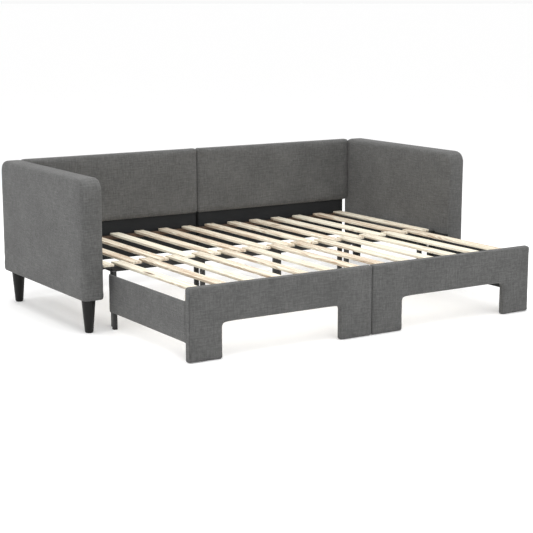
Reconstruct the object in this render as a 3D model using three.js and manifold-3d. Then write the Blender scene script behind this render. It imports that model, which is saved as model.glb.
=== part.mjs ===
// Upholstered daybed with a pull-out slatted extension, millimetres, +Z up.
// +X runs along the bed, +Y runs from the front to the back rest. The origin is on the floor, in the
// middle of the footprint with the extension pulled right out, which is how it is modelled.

import * as THREE from 'three';
import { mergeVertices } from 'three/addons/utils/BufferGeometryUtils.js';
import Module from 'manifold-3d';

// Driving dimensions of the daybed.
const INNER_LENGTH = 2020; // between the arms: a 2000 mattress and its bedding
const BED_DEPTH = 960; // arm front to the rear face of the back rest
const HEIGHT = 722; // floor to the top of arms and back rest
const ARM_THICKNESS = 105;
const BACK_THICKNESS = 60;
const LEG_HEIGHT = 160; // floor to the underside of arms and back boards
const BACK_PAD_BOTTOM = 365; // where the padding of the back rest stops and bare board begins
const SLAT_SEAT = 287.5; // top of the rails and ledges that the slats lie on

// Driving dimensions of the extension.
const REACH = 680; // how far it pulls out, arm front to the outer face of its front panel
const PANEL_HEIGHT = 325;
const PANEL_THICKNESS = 30;
const SIDE_GAP = 50; // between an arm and the extension
const OUTER_FOOT = 168;
const INNER_FOOT = 175; // each half of the middle foot
const ARCH_HEIGHT = 156;
const SIDE_PANEL_BOTTOM = 81;
const SIDE_PANEL_TOP = 265;
const SIDE_PANEL_THICKNESS = 15;
const SIDE_PANEL_TAIL = 77; // how far a side panel still reaches in behind the arm fronts

// Padding and covers.
const ARM_PAD = 20;
const BACK_FRONT_PAD = 18;
const BACK_REAR_PAD = 12;
const BACK_TOP_PAD = 16;
const PANEL_PAD = 6;
const ARM_EDGE_RADIUS = 24;
const ARM_CORNER_RADIUS = 40;
const ARM_BOTTOM_RADIUS = 14;
const SIDE_PANEL_EDGE_RADIUS = 3;
const SIDE_PANEL_CORNER_RADIUS = 6;
const BACK_EDGE_RADIUS = 10;
const PANEL_EDGE_RADIUS = 7;
const PANEL_CORNER_RADIUS = 12;
const PANEL_FOOT_RADIUS = 9; // bottom of its feet and along its seam
const ARCH_CORNER_RADIUS = 12;

// Slats. The bed slats and the extension's slats lie side by side like two combs.
const BED_SLATS = 14;
const SLAT_WIDTH = 55;
const SLAT_THICKNESS = 12;
const SLAT_END_MARGIN = 45; // arm to the edge of the first bed slat
const SLAT_REAR_GAP = 2; // ends of the bed slats to the back board
const SLAT_EDGE_RADIUS = 2.5;
const SLAT_LIFT = 0.7; // running clearance of the moving slats over the front rail
const SLAT_OVERLAP = 42; // how far the moving slats lie behind the front rail when pulled out

// Steel and timber of the two frames.
const RAIL_SETBACK = 108; // arm front to the front rail
const RAIL_SIZE = 25;
const TUBE_LEG = 20;
const RAIL_LEG_OFFSET = 430; // middle of the bed to a quarter leg
const LEDGE_DEPTH = 25;
const LEDGE_HEIGHT = 20;
const BATTEN_DEPTH = 55;
const BATTEN_HEIGHT = 24;
const PANEL_LEDGE_DEPTH = 30;
const PANEL_LEDGE_HEIGHT = 30;
const SIDE_LEG_TOP = 275;
const SIDE_LEG_SETBACK = 3; // end of the side panel to its leg
const TIE_WIDTH = 30;
const TIE_THICKNESS = 8;
const FRAME_TIMBER = 45; // width of the timbers in an arm frame
const FRAME_FOOT_TIMBER = 70; // its bottom timber, which the legs screw into
const BOARD_SEAM = 18; // open slot between the two back boards
const BOARD_END_GAP = 32; // between a back board and the arm; the padding fills it higher up
const JOINING_PLATE = { width: 100, thickness: 3, bottom: 175 };
const SEAM_PLATE = { width: 120, height: 50, thickness: 3, bottom: 185 };

// Tapered legs under the arms.
const TAPER_TOP_RADIUS = 33;
const TAPER_FOOT_RADIUS = 20;
const TAPER_INSET = 72; // arm front or rear to the axis of a leg
const TAPER_CHAMFER = 2; // round its foot
const TAPER_COLLAR = 6; // straight part at its top
const TAPER_SIDES = 28;

// Clearances.
const FIT = 0.3; // between pieces that touch
const RUN = 3; // between pieces that slide past each other
const STOP_GAP = 2; // batten to front rail with the extension pulled right out
const CUT = 1; // how far a cutting body passes the face that it cuts, and a weld overlaps

// Places worked out from the dimensions above.
const ARM_FRONT = (REACH - BED_DEPTH) / 2;
const BED_REAR = ARM_FRONT + BED_DEPTH;
const ARM_INNER = INNER_LENGTH / 2;
const ARM_MIDDLE = ARM_INNER + ARM_THICKNESS / 2;
const BACK_FACE = BED_REAR - BACK_THICKNESS;
const BOARD_FRONT = BACK_FACE + BACK_FRONT_PAD;
const BOARD_THICKNESS = BACK_THICKNESS - BACK_FRONT_PAD - BACK_REAR_PAD;
const BOARD_END = ARM_INNER - BOARD_END_GAP;
const RAIL_FRONT = ARM_FRONT + RAIL_SETBACK;
const RAIL_REAR = RAIL_FRONT + RAIL_SIZE;
const RAIL_BOTTOM = SLAT_SEAT - RAIL_SIZE;
const PANEL_FRONT = ARM_FRONT - REACH;
const PANEL_REAR = PANEL_FRONT + PANEL_THICKNESS;
const PANEL_HALF = ARM_INNER - SIDE_GAP;
const SIDE_PANEL_INNER = PANEL_HALF - SIDE_PANEL_THICKNESS;
const SIDE_PANEL_REAR = ARM_FRONT + SIDE_PANEL_TAIL;
const SIDE_LEG_INNER = SIDE_PANEL_INNER - FIT - TUBE_LEG;
const RAIL_END = SIDE_LEG_INNER - RUN;
const SIDE_RAIL_INNER = RAIL_END - RAIL_SIZE;
const LEDGE_FRONT = BOARD_FRONT - FIT - LEDGE_DEPTH;
const BED_SLAT_BOTTOM = SLAT_SEAT + FIT;
const MOVING_SLAT_BOTTOM = SLAT_SEAT + SLAT_LIFT;
const BATTEN_FRONT = RAIL_REAR + STOP_GAP;
const BATTEN_TOP = SLAT_SEAT - FIT;
const SLAT_PITCH = (INNER_LENGTH - 2 * SLAT_END_MARGIN - SLAT_WIDTH) / (BED_SLATS - 1);
const SIDES = [['left', -1], ['right', 1]];

const FABRIC = { color: 0x6c6966, roughness: 0.95, metalness: 0 };
const FLEECE = { color: 0x1f1f20, roughness: 0.98, metalness: 0 };
const PINE = { color: 0xe8d3ad, roughness: 0.7, metalness: 0 };
const STEEL = { color: 0x1c1c1e, roughness: 0.45, metalness: 0.3 };
const LEG_BLACK = { color: 0x171717, roughness: 0.5, metalness: 0 };
const PLYWOOD = { color: 0xb98f62, roughness: 0.8, metalness: 0 };

const wasm = await Module();
wasm.setup();

const bed = new THREE.Group();

function toSolid(geometry) {
  geometry.deleteAttribute('normal');
  geometry.deleteAttribute('uv');
  const merged = mergeVertices(geometry, 1e-3);
  return new wasm.Manifold(new wasm.Mesh({
    numProp: 3,
    vertProperties: new Float32Array(merged.attributes.position.array),
    triVerts: new Uint32Array(merged.index.array),
  }));
}

function toGeometry(solid) {
  const mesh = solid.getMesh();
  const geometry = new THREE.BufferGeometry();
  geometry.setAttribute('position', new THREE.BufferAttribute(new Float32Array(mesh.vertProperties), 3));
  geometry.setIndex(new THREE.BufferAttribute(new Uint32Array(mesh.triVerts), 1));
  geometry.computeVertexNormals();
  return geometry;
}

function add(name, geometry, finish) {
  const mesh = new THREE.Mesh(geometry, new THREE.MeshStandardMaterial(finish));
  mesh.name = name;
  bed.add(mesh);
}

// A block between two corners; the ranges are [low, high] pairs.
function block([x0, x1], [y0, y1], [z0, z1]) {
  const box = new THREE.BoxGeometry(x1 - x0, y1 - y0, z1 - z0);
  return box.translate((x0 + x1) / 2, (y0 + y1) / 2, (z0 + z1) / 2);
}

// The same range on the left or right half of the bed.
function mirrored(side, low, high) {
  return side < 0 ? [-high, -low] : [low, high];
}

// A closed outline through corner points [x, y, radius], each corner rounded by its own radius.
function roundedOutline(corners) {
  const shape = new THREE.Shape();
  corners.forEach(([x, y, radius], i) => {
    const [px, py] = corners[(i + corners.length - 1) % corners.length];
    const [nx, ny] = corners[(i + 1) % corners.length];
    const corner = new THREE.Vector2(x, y);
    const before = new THREE.Vector2(px, py).sub(corner).setLength(radius).add(corner);
    const after = new THREE.Vector2(nx, ny).sub(corner).setLength(radius).add(corner);
    if (i === 0) shape.moveTo(before.x, before.y);
    else shape.lineTo(before.x, before.y);
    shape.quadraticCurveTo(x, y, after.x, after.y);
  });
  shape.closePath();
  return shape;
}

// An outline drawn in X and Z, extruded from y0 back to y1, with its outer edges rounded.
function extrudeAlongY(shape, [y0, y1], edge = 0, steps = 3, curveSegments = 4) {
  const geometry = new THREE.ExtrudeGeometry(shape, {
    depth: y1 - y0 - 2 * edge,
    bevelEnabled: edge > 0,
    bevelThickness: edge,
    bevelSize: edge,
    bevelOffset: -edge,
    bevelSegments: steps,
    curveSegments,
  });
  return geometry.rotateX(Math.PI / 2).translate(0, y1 - edge, 0);
}

// An outline drawn in Y and Z, extruded from x0 to x1, with its outer edges rounded.
function extrudeAlongX(shape, [x0, x1], edge = 0, steps = 3, curveSegments = 4) {
  const geometry = new THREE.ExtrudeGeometry(shape, {
    depth: x1 - x0 - 2 * edge,
    bevelEnabled: edge > 0,
    bevelThickness: edge,
    bevelSize: edge,
    bevelOffset: -edge,
    bevelSegments: steps,
    curveSegments,
  });
  const basis = new THREE.Matrix4().makeBasis(
    new THREE.Vector3(0, 1, 0),
    new THREE.Vector3(0, 0, 1),
    new THREE.Vector3(1, 0, 0),
  );
  return geometry.applyMatrix4(basis).translate(x0 + edge, 0, 0);
}

// Outline of an arm in Y and Z with every side but the bottom moved in by `inset`.
function armOutline(inset) {
  const [front, rear, top] = [ARM_FRONT + inset, BED_REAR - inset, HEIGHT - inset];
  const low = ARM_BOTTOM_RADIUS + ARM_EDGE_RADIUS - inset;
  const high = ARM_CORNER_RADIUS + ARM_EDGE_RADIUS - inset;
  return roundedOutline([
    [front, LEG_HEIGHT, low],
    [rear, LEG_HEIGHT, low],
    [rear, top, high],
    [front, top, high],
  ]);
}

// Arm: a timber frame with one middle post, in a padded cover that is open underneath.
function buildArm(name, side) {
  const x = mirrored(side, ARM_INNER + ARM_PAD, ARM_INNER + ARM_THICKNESS - ARM_PAD);
  const [front, rear] = [ARM_FRONT + ARM_PAD + FRAME_TIMBER, BED_REAR - ARM_PAD - FRAME_TIMBER];
  const middle = (front + rear) / 2;
  const height = [LEG_HEIGHT + FRAME_FOOT_TIMBER, HEIGHT - ARM_PAD - FRAME_TIMBER];
  let frame = toSolid(extrudeAlongX(armOutline(ARM_PAD), x));
  for (const bay of [[front, middle - FRAME_TIMBER / 2], [middle + FRAME_TIMBER / 2, rear]]) {
    frame = frame.subtract(toSolid(block([x[0] - CUT, x[1] + CUT], bay, height)));
  }
  add(`arm_frame_${name}`, toGeometry(frame), PLYWOOD);

  const span = mirrored(side, ARM_INNER, ARM_INNER + ARM_THICKNESS);
  const outer = toSolid(extrudeAlongX(armOutline(0), span, ARM_EDGE_RADIUS, 5, 5));
  const room = [x[0] - FIT, x[1] + FIT];
  const cavity = toSolid(extrudeAlongX(armOutline(ARM_PAD - FIT), room));
  const mouth = toSolid(block(
    room,
    [ARM_FRONT + ARM_PAD - FIT, BED_REAR - ARM_PAD + FIT],
    [LEG_HEIGHT - CUT, LEG_HEIGHT + ARM_BOTTOM_RADIUS + ARM_EDGE_RADIUS - ARM_PAD + FIT],
  ));
  add(`arm_cover_${name}`, toGeometry(outer.subtract(cavity).subtract(mouth)), FABRIC);
}

// Tapered leg under an arm.
function buildTaperedLeg(name, side, y) {
  const top = LEG_HEIGHT - FIT;
  const profile = [
    [0, 0],
    [TAPER_FOOT_RADIUS - TAPER_CHAMFER, 0],
    [TAPER_FOOT_RADIUS, TAPER_CHAMFER],
    [TAPER_TOP_RADIUS, top - TAPER_COLLAR],
    [TAPER_TOP_RADIUS, top],
    [0, top],
  ].map(([r, h]) => new THREE.Vector2(r, h));
  const leg = new THREE.LatheGeometry(profile, TAPER_SIDES);
  leg.rotateX(Math.PI / 2).translate(side * ARM_MIDDLE, y, 0);
  add(`tapered_leg_${name}`, leg, LEG_BLACK);
}

// Half of the back rest: a board from the arm's underside up, and the pad over its upper part.
function buildBackHalf(name, side) {
  const x = mirrored(side, BOARD_SEAM / 2, BOARD_END);
  const y = [BOARD_FRONT, BOARD_FRONT + BOARD_THICKNESS];
  const z = [LEG_HEIGHT, HEIGHT - BACK_TOP_PAD];
  add(`back_board_${name}`, block(x, y, z), FLEECE);

  const [x0, x1] = mirrored(side, FIT, ARM_INNER - FIT);
  const edge = BACK_EDGE_RADIUS;
  const outline = roundedOutline([
    [x0, BACK_PAD_BOTTOM, 1.5 * edge],
    [x1, BACK_PAD_BOTTOM, 1.5 * edge],
    [x1, HEIGHT, 2 * edge],
    [x0, HEIGHT, 2 * edge],
  ]);
  const outer = toSolid(extrudeAlongY(outline, [BACK_FACE, BED_REAR], edge, 3, 3));
  const cavity = toSolid(block(
    [x[0] - FIT, x[1] + FIT],
    [y[0] - FIT, y[1] + FIT],
    [z[0], z[1] + FIT],
  ));
  add(`back_cover_${name}`, toGeometry(outer.subtract(cavity)), FABRIC);
}

// Half of the front rail, with its three tube legs welded underneath.
function buildFrontRail(name, side) {
  const y = [RAIL_FRONT, RAIL_REAR];
  const legY = [RAIL_FRONT + (RAIL_SIZE - TUBE_LEG) / 2, RAIL_REAR - (RAIL_SIZE - TUBE_LEG) / 2];
  let rail = toSolid(block(mirrored(side, FIT, RAIL_END), y, [RAIL_BOTTOM, SLAT_SEAT]));
  for (const start of [FIT, RAIL_LEG_OFFSET - TUBE_LEG / 2, RAIL_END - TUBE_LEG]) {
    rail = rail.add(toSolid(block(mirrored(side, start, start + TUBE_LEG), legY, [0, RAIL_BOTTOM + CUT])));
  }
  add(`front_rail_${name}`, toGeometry(rail), STEEL);
}

// Side rail from the front rail to the rear ledge, and the flat tie between it and the arm.
function buildSideRail(name, side) {
  const x = mirrored(side, SIDE_RAIL_INNER, RAIL_END);
  add(`side_rail_${name}`, block(x, [RAIL_REAR + FIT, LEDGE_FRONT - FIT], [RAIL_BOTTOM, SLAT_SEAT]), STEEL);
  const tieTop = SLAT_SEAT - FIT;
  add(`arm_tie_${name}`, block(
    mirrored(side, RAIL_END + FIT, ARM_INNER - FIT),
    [RAIL_FRONT, RAIL_FRONT + TIE_WIDTH],
    [tieTop - TIE_THICKNESS, tieTop],
  ), STEEL);
}

function slatGeometry(middle, y, bottom) {
  const top = bottom + SLAT_THICKNESS;
  const r = SLAT_EDGE_RADIUS;
  const [x0, x1] = [middle - SLAT_WIDTH / 2, middle + SLAT_WIDTH / 2];
  const outline = roundedOutline([[x0, bottom, r], [x1, bottom, r], [x1, top, r], [x0, top, r]]);
  return extrudeAlongY(outline, y, 0, 1, 2);
}

function buildSlats(prefix, count, y, bottom) {
  for (let i = 0; i < count; i += 1) {
    const middle = (i - (count - 1) / 2) * SLAT_PITCH;
    const number = String(i + 1).padStart(2, '0');
    add(`${prefix}_${number}`, slatGeometry(middle, y, bottom), PINE);
  }
}

// Outline of half of the extension's front panel with its arch, every side moved in by `inset`.
function panelOutline(side, inset) {
  const [low, top] = [inset, PANEL_HEIGHT - inset];
  const seam = FIT + inset;
  const [archFrom, archTo] = [INNER_FOOT - inset, PANEL_HALF - OUTER_FOOT + inset];
  const archTop = ARCH_HEIGHT + inset;
  const foot = Math.max(PANEL_FOOT_RADIUS - inset, FIT);
  return roundedOutline([
    [seam, low, foot],
    [archFrom, low, foot],
    [archFrom, archTop, ARCH_CORNER_RADIUS],
    [archTo, archTop, ARCH_CORNER_RADIUS],
    [archTo, low, foot],
    [PANEL_HALF - inset, low, foot],
    [PANEL_HALF - inset, top, PANEL_CORNER_RADIUS],
    [seam, top, foot],
  ].map(([x, z, radius]) => [side * x, z, radius]));
}

// Half of the extension's front: a plywood board in a padded cover that is open behind.
function buildFrontPanel(name, side) {
  const boardFront = PANEL_FRONT + PANEL_PAD + FIT;
  add(
    `trundle_front_board_${name}`,
    extrudeAlongY(panelOutline(side, PANEL_PAD + FIT), [boardFront, PANEL_REAR], 0, 1, 3),
    PLYWOOD,
  );
  const edge = PANEL_EDGE_RADIUS;
  const behind = PANEL_REAR + 2 * edge;
  const outer = toSolid(extrudeAlongY(panelOutline(side, 0), [PANEL_FRONT, behind], edge, 3, 3));
  const cavity = toSolid(extrudeAlongY(panelOutline(side, PANEL_PAD), [boardFront - FIT, behind + CUT], 0, 1, 3));
  const waste = toSolid(block(
    [-PANEL_HALF - CUT, PANEL_HALF + CUT],
    [PANEL_REAR, behind + CUT],
    [-CUT, PANEL_HEIGHT + CUT],
  ));
  add(`trundle_front_cover_${name}`, toGeometry(outer.subtract(cavity).subtract(waste)), FABRIC);
}

// Upholstered side panel of the extension and the tube leg at its rear end.
function buildTrundleSide(name, side) {
  const outline = roundedOutline([
    [PANEL_REAR + FIT, SIDE_PANEL_BOTTOM, SIDE_PANEL_CORNER_RADIUS],
    [SIDE_PANEL_REAR, SIDE_PANEL_BOTTOM, SIDE_PANEL_CORNER_RADIUS],
    [SIDE_PANEL_REAR, SIDE_PANEL_TOP, SIDE_PANEL_CORNER_RADIUS],
    [PANEL_REAR + FIT, SIDE_PANEL_TOP, SIDE_PANEL_CORNER_RADIUS],
  ]);
  const x = mirrored(side, SIDE_PANEL_INNER, PANEL_HALF);
  add(`trundle_side_panel_${name}`, extrudeAlongX(outline, x, SIDE_PANEL_EDGE_RADIUS, 2, 3), FABRIC);

  const rear = SIDE_PANEL_REAR - SIDE_LEG_SETBACK;
  add(`trundle_side_leg_${name}`, block(
    mirrored(side, SIDE_LEG_INNER, SIDE_LEG_INNER + TUBE_LEG),
    [rear - TUBE_LEG, rear],
    [0, SIDE_LEG_TOP],
  ), STEEL);
}

// Batten that ties the rear ends of the moving slats, and its tube legs.
function buildRearBatten() {
  const half = SIDE_RAIL_INNER - RUN;
  const y = [BATTEN_FRONT, BATTEN_FRONT + BATTEN_DEPTH];
  const bottom = BATTEN_TOP - BATTEN_HEIGHT;
  add('trundle_rear_batten', block([-half, half], y, [bottom, BATTEN_TOP]), PINE);
  const legY = [y[1] - TUBE_LEG, y[1]];
  for (const [name, side] of SIDES) {
    const x = mirrored(side, RAIL_LEG_OFFSET - TUBE_LEG / 2, RAIL_LEG_OFFSET + TUBE_LEG / 2);
    add(`trundle_rear_leg_${name}`, block(x, legY, [0, bottom - FIT]), STEEL);
  }
}

for (const [name, side] of SIDES) {
  buildArm(name, side);
  buildTaperedLeg(`front_${name}`, side, ARM_FRONT + TAPER_INSET);
  buildTaperedLeg(`rear_${name}`, side, BED_REAR - TAPER_INSET);
  buildBackHalf(name, side);
  buildFrontRail(name, side);
  buildSideRail(name, side);
}

const plateFront = BOARD_FRONT + BOARD_THICKNESS + FIT;
add('back_joining_plate', block(
  [-JOINING_PLATE.width / 2, JOINING_PLATE.width / 2],
  [plateFront, plateFront + JOINING_PLATE.thickness],
  [JOINING_PLATE.bottom, BACK_PAD_BOTTOM - FIT],
), STEEL);
add('rear_slat_ledge', block(
  [-ARM_INNER + FIT, ARM_INNER - FIT],
  [LEDGE_FRONT, BOARD_FRONT - FIT],
  [SLAT_SEAT - LEDGE_HEIGHT, SLAT_SEAT],
), PINE);
buildSlats('bed_slat', BED_SLATS, [RAIL_FRONT, BOARD_FRONT - SLAT_REAR_GAP], BED_SLAT_BOTTOM);

for (const [name, side] of SIDES) {
  buildFrontPanel(name, side);
  buildTrundleSide(name, side);
}
add('trundle_slat_ledge', block(
  [-SIDE_PANEL_INNER + FIT, SIDE_PANEL_INNER - FIT],
  [PANEL_REAR + FIT, PANEL_REAR + FIT + PANEL_LEDGE_DEPTH],
  [BATTEN_TOP - PANEL_LEDGE_HEIGHT, BATTEN_TOP],
), PINE);
add('trundle_seam_plate', block(
  [-SEAM_PLATE.width / 2, SEAM_PLATE.width / 2],
  [PANEL_REAR + FIT, PANEL_REAR + FIT + SEAM_PLATE.thickness],
  [SEAM_PLATE.bottom, SEAM_PLATE.bottom + SEAM_PLATE.height],
), STEEL);
buildRearBatten();
buildSlats(
  'trundle_slat',
  BED_SLATS - 1,
  [PANEL_REAR + FIT, RAIL_REAR + SLAT_OVERLAP],
  MOVING_SLAT_BOTTOM,
);

export default bed;
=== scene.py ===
"""Looks of an upholstered daybed with a slatted extension pulled out at its front.

All sizes are in metres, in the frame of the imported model: +X along the bed, +Y towards the back
rest, +Z up.
"""

import logging
import math
from collections.abc import Callable, Iterable, Sequence
from dataclasses import dataclass, field
from enum import Enum

import bmesh
import bpy
import numpy as np
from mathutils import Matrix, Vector


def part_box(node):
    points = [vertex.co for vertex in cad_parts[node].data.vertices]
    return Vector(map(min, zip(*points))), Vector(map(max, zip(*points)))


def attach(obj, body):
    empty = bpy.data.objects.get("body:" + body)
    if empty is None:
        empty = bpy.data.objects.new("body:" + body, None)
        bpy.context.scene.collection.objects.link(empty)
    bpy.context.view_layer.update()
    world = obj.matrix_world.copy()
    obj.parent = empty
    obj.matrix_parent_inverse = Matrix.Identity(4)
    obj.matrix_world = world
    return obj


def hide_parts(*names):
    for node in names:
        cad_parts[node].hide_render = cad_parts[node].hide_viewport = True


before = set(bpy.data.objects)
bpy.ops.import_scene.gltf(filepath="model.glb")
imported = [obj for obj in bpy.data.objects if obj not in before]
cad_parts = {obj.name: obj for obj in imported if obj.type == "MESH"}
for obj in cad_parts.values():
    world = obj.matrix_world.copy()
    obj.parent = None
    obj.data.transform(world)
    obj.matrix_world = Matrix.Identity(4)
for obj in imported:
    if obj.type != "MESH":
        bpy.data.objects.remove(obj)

LOG = logging.getLogger("daybed")
FIT = 0.0003  # gap between parts that fit together
MERGE = 1e-5  # points closer than this become one
SLIVER = 2e-6  # the same on rounded outlines, whose points lie closer
ON_FLOOR = 1e-4  # points lower than this stand on the floor
MARGIN = 0.05  # how far a cutter stands past what it cuts off
SOFT_CREASE = 60.0  # padded pieces are shaded smoothly up to this angle, in degrees
SLIGHT_TURN = 0.12  # how unevenly staples are shot in, in radians
ANY_TURN = math.pi  # screws and bolts end at any angle
WEAVE_MAP = "weave"
PLANK = "plank"
FACING = "facing"
ALONG = "along"
UP, DOWN, BACK = Vector((0, 0, 1)), Vector((0, 0, -1)), Vector((0, 1, 0))
WHITE = (1, 1, 1, 1)

Colour = tuple[float, float, float, float]
Span = tuple[float, float]
Cell = tuple[float, float, float]
Surface = tuple[object, object, object]
Socket = bpy.types.NodeSocket
Piece = bpy.types.Object
Mesh = bpy.types.Mesh


class Side(Enum):
    """Which half of the bed a piece belongs to."""

    LEFT = -1
    RIGHT = 1

    @property
    def label(self) -> str:
        """The side's name as the pieces spell it."""
        return self.name.lower()


class Body(Enum):
    """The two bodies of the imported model."""

    DAYBED = "daybed"
    TRUNDLE = "trundle"

    @staticmethod
    def of(name: str) -> "Body":
        """The body of a piece or node, whose name starts with it on the extension."""
        return Body.TRUNDLE if name.startswith(Body.TRUNDLE.value) else Body.DAYBED


class Axis(Enum):
    """A direction of the frame."""

    X = 0
    Y = 1
    Z = 2


class Slot(Enum):
    """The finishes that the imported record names."""

    UPHOLSTERY = "upholstery"
    LINING = "lining"
    PLYWOOD = "plywood"
    PINE = "pine"
    STEEL = "steel"
    LEG = "tapered_leg"


# Node trees and finishes


class Graph:
    """A node tree with short calls that add and join nodes."""

    def __init__(self, tree: bpy.types.NodeTree) -> None:
        """Starts from an existing tree."""
        self.tree = tree

    def add(self, kind: str, inputs: dict | None = None, **settings: object) -> bpy.types.Node:
        """Adds a node.

        Args:
            kind: The node's type name.
            inputs: Values or output sockets for its inputs, by name or number.
            **settings: Properties of the node.

        Returns:
            The node.
        """
        node = self.tree.nodes.new(kind)
        for name, value in settings.items():
            setattr(node, name, value)
        self.feed(node, inputs or {})
        return node

    def feed(self, node: bpy.types.Node, inputs: dict) -> None:
        """Gives a node's inputs their values or links.

        Args:
            node: The node.
            inputs: Values or output sockets, by name or number.
        """
        for key, value in inputs.items():
            if isinstance(value, Socket):
                self.tree.links.new(value, node.inputs[key])
            else:
                node.inputs[key].default_value = value

    def place(self) -> Socket:
        """Where a point of the piece lies."""
        return self.add("ShaderNodeTexCoord").outputs["Object"]

    def axes(self, vector: Socket) -> bpy.types.bpy_prop_collection:
        """The vector's three numbers."""
        return self.add("ShaderNodeSeparateXYZ", {0: vector}).outputs

    def vector(self, **inputs: object) -> Socket:
        """A vector from any of its numbers X, Y and Z."""
        return self.add("ShaderNodeCombineXYZ", inputs).outputs[0]

    def math(self, operation: str, a: object, b: object = 0.0) -> Socket:
        """The result of a Math node on one or two values."""
        return self.add("ShaderNodeMath", {0: a, 1: b}, operation=operation).outputs[0]

    def wave(self, value: Socket, per_unit: float) -> Socket:
        """A sine wave of a value, with its phase per unit of the value."""
        return self.math("SINE", self.math("MULTIPLY", value, per_unit))

    def stretched(self, vector: Socket, cell: Sequence[float]) -> Socket:
        """The vector counted in cells of the given size."""
        inputs = {0: vector, 1: tuple(1 / c for c in cell)}
        return self.add("ShaderNodeVectorMath", inputs, operation="MULTIPLY").outputs[0]

    def noise(self, vector: Socket, cell: Sequence[float], detail: float = 2.0) -> Socket:
        """Smooth noise whose lumps have the given size."""
        inputs = {"Vector": self.stretched(vector, cell), "Scale": 1.0, "Detail": detail}
        return self.add("ShaderNodeTexNoise", inputs).outputs[0]

    def ramp(self, factor: Socket, stops: Sequence[tuple[float, Colour]]) -> Socket:
        """A colour that runs through the stops.

        Args:
            factor: What places a point on the ramp.
            stops: Position and colour of each stop, in order.

        Returns:
            The colour output.
        """
        node = self.add("ShaderNodeValToRGB", {0: factor})
        elements = node.color_ramp.elements
        while len(elements) < len(stops):
            elements.new(1.0)
        for element, (position, colour) in zip(elements, stops):
            element.position = position
            element.color = colour
        return node.outputs[0]

    def spread(self, value: Socket, source: Span, target: Span = (0, 1)) -> Socket:
        """The value carried from one range to another."""
        inputs = dict(enumerate((value, *source, *target)))
        return self.add("ShaderNodeMapRange", inputs).outputs[0]

    def total(self, *parts: tuple[Socket, float]) -> Socket:
        """The weighted sum of some values.

        Args:
            *parts: Each value and its weight.

        Returns:
            The sum.
        """
        result: object = 0.0
        for value, weight in parts:
            inputs = {0: value, 1: weight, 2: result}
            result = self.add("ShaderNodeMath", inputs, operation="MULTIPLY_ADD").outputs[0]
        return result


@dataclass(frozen=True)
class Finish:
    """What all finishes share: a name and the values that are the same all over the surface."""

    name: str = "finish"
    slot: Slot | None = None
    metallic: float = 0.0
    specular: float = 0.4
    sheen: float = 0.0
    sheen_roughness: float = 0.5
    coat: float = 0.0
    coat_roughness: float = 0.3
    bump: float = 0.0003

    def pattern(self, graph: Graph) -> Surface:
        """Colour, roughness and height of the surface; each finish has its own."""
        raise NotImplementedError

    def material(self) -> bpy.types.Material:
        """Builds the material, once for each name.

        Returns:
            The material.
        """
        made = bpy.data.materials.get(self.name)
        if made:
            return made
        made = bpy.data.materials.new(self.name)
        made.use_nodes = True
        graph = Graph(made.node_tree)
        shader = made.node_tree.nodes["Principled BSDF"]
        colour, roughness, height = self.pattern(graph)
        inputs = {"Height": height, "Distance": self.bump, "Strength": 1.0}
        normal = graph.add("ShaderNodeBump", inputs).outputs[0]
        graph.feed(shader, {
            "Base Color": colour,
            "Roughness": roughness,
            "Normal": normal,
            "Metallic": self.metallic,
            "Specular IOR Level": self.specular,
            "Sheen Weight": self.sheen,
            "Sheen Roughness": self.sheen_roughness,
            "Coat Weight": self.coat,
            "Coat Roughness": self.coat_roughness,
        })
        return made


@dataclass(frozen=True)
class Linen(Finish):
    """Plain-woven upholstery cloth with slubs in both directions."""

    name: str = "grey_linen"
    slot: Slot | None = Slot.UPHOLSTERY
    specular: float = 0.25
    sheen: float = 0.12
    bump: float = 0.00045
    thread: float = 0.0017
    slub_width: float = 0.007
    slub_length: float = 0.055
    fineness: float = 3
    cloud: float = 0.16
    contrast: Span = (1.38, 2.02)
    matt: Span = (0.96, 0.82)
    dark: Colour = (0.0724, 0.0724, 0.0709, 1)
    middle: Colour = (0.0985, 0.0985, 0.0965, 1)
    light: Colour = (0.1310, 0.1310, 0.1280, 1)

    def pattern(self, graph: Graph) -> Surface:
        """Crossing threads, slubs and a faint cloudiness, on the piece's own weave map.

        Args:
            graph: The material's tree.

        Returns:
            What feeds the shader's colour, roughness and bump.
        """
        weave = graph.add("ShaderNodeUVMap", uv_map=WEAVE_MAP).outputs[0]
        wide, long, finer = self.slub_width, self.slub_length, self.fineness
        warp = graph.noise(weave, (wide, long, 1))
        weft = graph.noise(weave, (long, wide, 1))
        fine_warp = graph.noise(weave, (wide / finer, long / finer, 1), 1)
        fine_weft = graph.noise(weave, (long / finer, wide / finer, 1), 1)
        clouds = graph.noise(weave, (self.cloud, self.cloud, 1), 3)
        axes = graph.axes(weave)
        waves = [graph.wave(axes[i], math.tau / self.thread) for i in range(2)]
        crossing = graph.math("MULTIPLY", *waves)
        tone = graph.total(
            (warp, 0.7), (weft, 0.75), (fine_warp, 0.65), (fine_weft, 0.65), (clouds, 0.55),
            (crossing, 0.05),
        )
        shade = graph.spread(tone, self.contrast)
        colour = graph.ramp(shade, [(0, self.dark), (0.5, self.middle), (1, self.light)])
        height = graph.total(
            (crossing, 0.35), (fine_warp, 0.5), (fine_weft, 0.5), (warp, 0.4), (weft, 0.4)
        )
        return colour, graph.spread(shade, (0, 1), self.matt), height


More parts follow.
